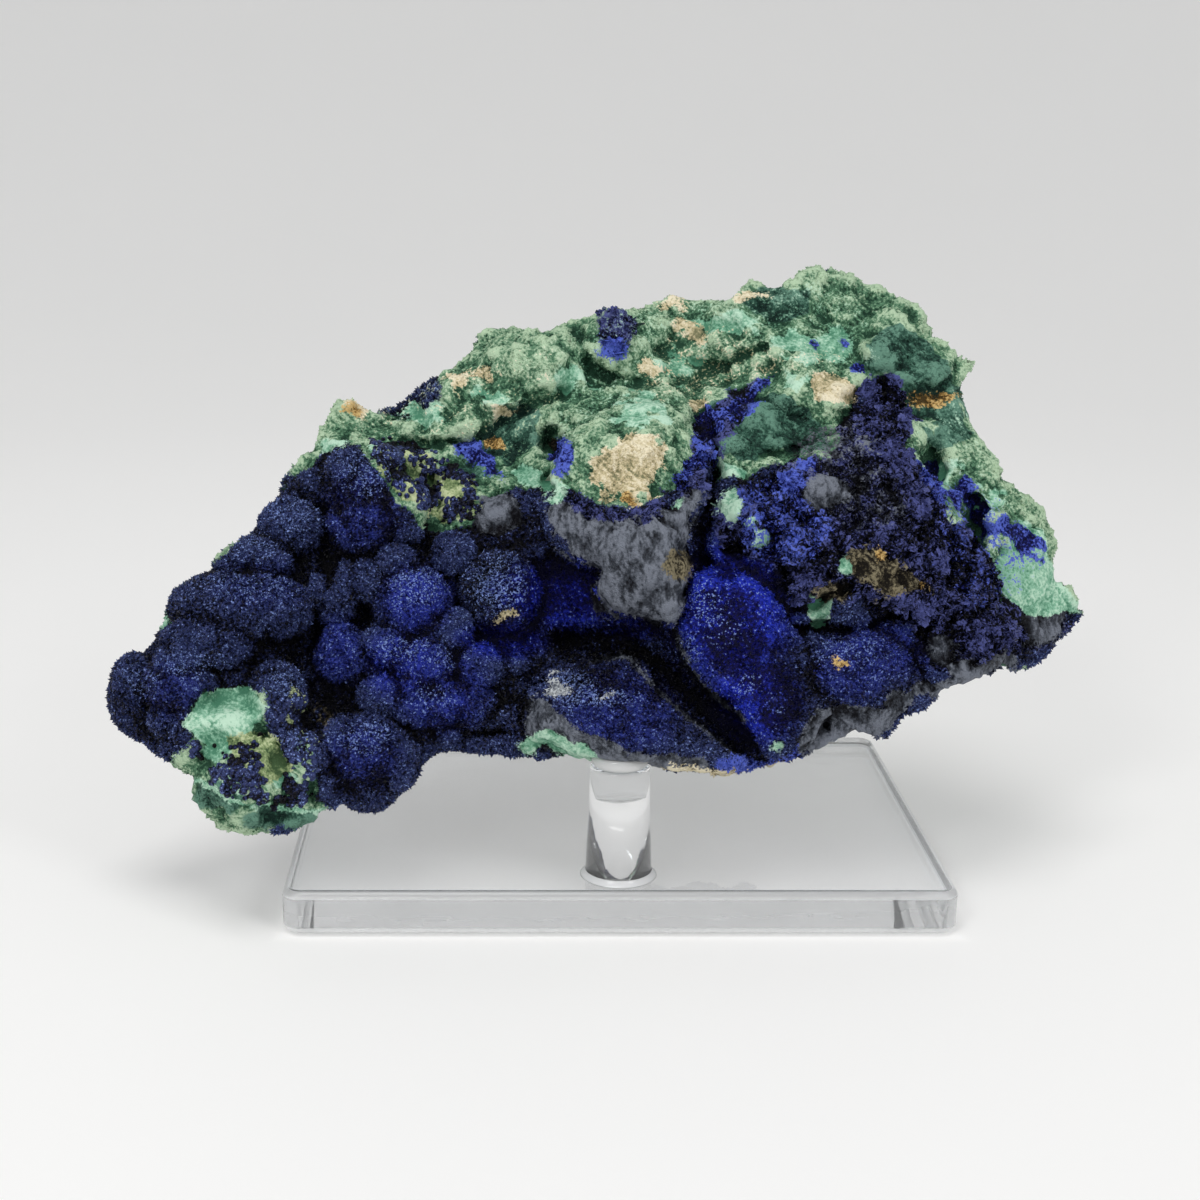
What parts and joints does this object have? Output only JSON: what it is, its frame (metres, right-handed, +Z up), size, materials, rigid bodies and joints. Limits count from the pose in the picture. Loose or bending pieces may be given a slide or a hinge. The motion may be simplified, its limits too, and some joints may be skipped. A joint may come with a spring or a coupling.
{
  "type": "azurite and malachite mineral specimen on a clear stand",
  "caption": "Natural azurite and malachite stone with rounded blue lobes and a green crown, fixed on a clear post and plate.",
  "frame": {"origin": "middle of the stand plate's underside", "axes": "+X to the right along the specimen's length, +Y towards the back, +Z up; the specimen's front faces -Y"},
  "size_m": [0.1946, 0.0897, 0.116],
  "materials": {
    "stone": "rough crystalline",
    "clear_acrylic": "polished",
    "clear_glue": "satin"
  },
  "bodies": {
    "root": {"specimen": "stone", "stand_plate": "clear_acrylic", "stand_post": "clear_acrylic", "adhesive_pad": "clear_glue", "post_foot_bead": "clear_glue"}
  },
  "joints": []
}
